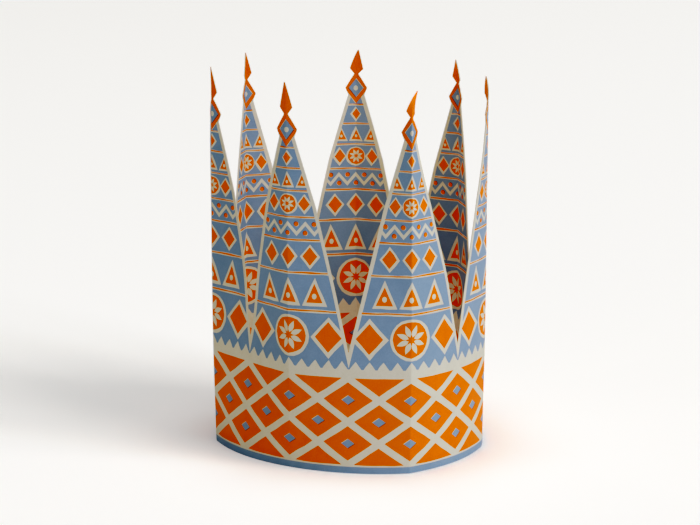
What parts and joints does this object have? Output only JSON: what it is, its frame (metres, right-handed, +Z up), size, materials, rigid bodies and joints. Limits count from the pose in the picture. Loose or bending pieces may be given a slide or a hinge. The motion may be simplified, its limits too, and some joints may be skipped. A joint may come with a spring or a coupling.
{
  "type": "paper crown",
  "caption": "Tall spired paper crown, one printed card sheet die cut, folded down each spire and glued into a ring.",
  "frame": {"origin": "middle of the crown's footprint, on the surface that its hem stands on", "axes": "+Z up along the spires, -Y towards the front, +X to the right as seen from the front"},
  "size_m": [0.186, 0.1882, 0.2605],
  "materials": {
    "printed_card": "matte"
  },
  "bodies": {
    "root": {"crown_sheet": "printed_card"}
  },
  "joints": []
}
